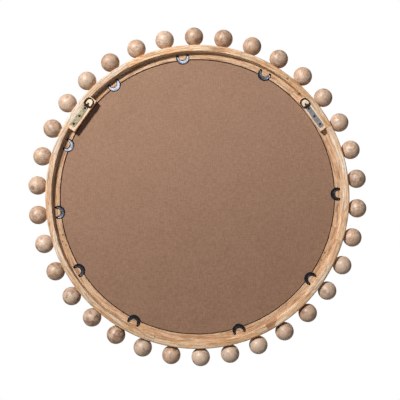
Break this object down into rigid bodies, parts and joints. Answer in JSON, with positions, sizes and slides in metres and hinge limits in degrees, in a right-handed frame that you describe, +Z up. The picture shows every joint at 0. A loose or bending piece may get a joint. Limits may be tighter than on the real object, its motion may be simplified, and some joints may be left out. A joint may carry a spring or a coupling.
{
  "type": "round wall mirror",
  "caption": "Round wall mirror in a glued wooden ring, wreathed with turned wooden beads on dowels, with two swinging hanging rings on its back.",
  "frame": {"origin": "centre of the wooden ring, on the plane of its back face, which lies against the wall", "axes": "+Z up, -Y towards the wall, +Y out of the mirror's face, +X to the right as seen from behind"},
  "size_m": [0.9118, 0.0548, 0.9138],
  "materials": {
    "band_wood": "satin, natural",
    "filler_wood": "satin, darker offcut",
    "front_wood": "satin, natural",
    "bead_wood": "satin, lightly whitewashed",
    "block_wood": "sawn, pale",
    "dowel_wood": "plain",
    "fibreboard": "matte",
    "silvered_glass": "polished, painted dark behind",
    "clip_steel": "blued spring steel",
    "zinc_strap_left": "yellow zinc",
    "zinc_strap_right": "grey zinc",
    "dark_wire": "dark bronzed",
    "screw_steel": "zinc"
  },
  "bodies": {
    "mirror": {"bead_01": "bead_wood", "bead_02": "bead_wood", "bead_03": "bead_wood", "bead_04": "bead_wood", "bead_05": "bead_wood", "bead_06": "bead_wood", "bead_07": "bead_wood", "bead_08": "bead_wood", "bead_09": "bead_wood", "bead_10": "bead_wood", "bead_11": "bead_wood", "bead_12": "bead_wood", "bead_13": "bead_wood", "bead_14": "bead_wood", "bead_15": "bead_wood", "bead_16": "bead_wood", "bead_17": "bead_wood", "bead_18": "bead_wood", "bead_19": "bead_wood", "bead_20": "bead_wood", "bead_21": "bead_wood", "bead_22": "bead_wood", "bead_23": "bead_wood", "bead_24": "bead_wood", "bead_25": "bead_wood", "bead_26": "bead_wood", "bead_27": "bead_wood", "bead_28": "bead_wood", "bead_29": "bead_wood", "bead_30": "bead_wood", "bead_31": "bead_wood", "bead_32": "bead_wood", "bead_33": "bead_wood", "bead_34": "bead_wood", "back_ring_segment_1": "band_wood", "back_ring_segment_2": "band_wood", "back_ring_segment_3": "band_wood", "back_ring_segment_4": "band_wood", "back_ring_segment_5": "band_wood", "back_ring_segment_6": "band_wood", "back_ring_segment_7": "band_wood", "back_ring_segment_8": "band_wood", "back_ring_filler": "filler_wood", "front_ring_segment_1": "front_wood", "front_ring_segment_2": "front_wood", "front_ring_segment_3": "front_wood", "front_ring_segment_4": "front_wood", "front_ring_segment_5": "front_wood", "front_ring_segment_6": "front_wood", "bead_dowels": "dowel_wood", "mirror_glass": "silvered_glass", "backing_panel": "fibreboard", "retaining_clips": "clip_steel", "hanger_block_left": "block_wood", "hanger_block_right": "block_wood", "hanger_strap_left": "zinc_strap_left", "hanger_strap_right": "zinc_strap_right", "hanger_screws": "screw_steel"},
    "left_ring": {"hanging_ring_left": "dark_wire"},
    "right_ring": {"hanging_ring_right": "dark_wire"}
  },
  "joints": [
    {"name": "left_ring_swing", "type": "hinge", "parent": "mirror", "child": "left_ring", "pos_m": [-0.29516, -0.00288, 0.24472], "axis": [0.8121, 0, -0.5835], "range_deg": [0, 182]},
    {"name": "right_ring_swing", "type": "hinge", "parent": "mirror", "child": "right_ring", "pos_m": [0.2923, -0.00288, 0.24349], "axis": [0.8111, 0, 0.585], "range_deg": [0, 182]}
  ]
}
